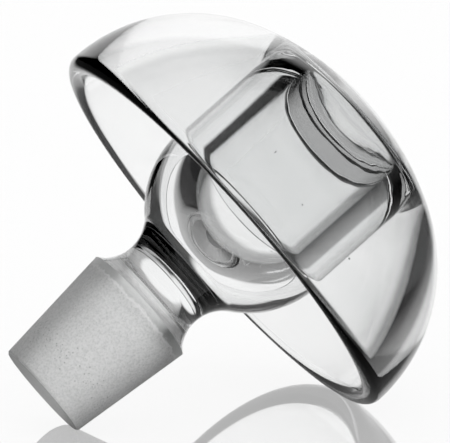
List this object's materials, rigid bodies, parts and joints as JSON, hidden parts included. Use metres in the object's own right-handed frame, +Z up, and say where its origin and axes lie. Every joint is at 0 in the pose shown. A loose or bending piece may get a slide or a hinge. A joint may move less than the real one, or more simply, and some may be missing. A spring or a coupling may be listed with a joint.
{
  "type": "glass stopper",
  "caption": "Glass stopper with a ground conical plug, a slim waist and a sealed hollow bulb under an umbrella dome; it closes a tapered neck while the dome shields the mouth.",
  "frame": {"origin": "middle of the box around the footprint, on the surface that the stopper lies on", "axes": "+Z up; the stopper's own axis lies in the XZ plane and leans up towards +X, with the plug at -X and the dome at +X; +Y across the dome"},
  "size_m": [0.0628, 0.0664, 0.0587],
  "materials": {
    "glass": "clear and polished, with the plug ground matt"
  },
  "bodies": {
    "root": {"stopper": "glass"}
  },
  "joints": []
}
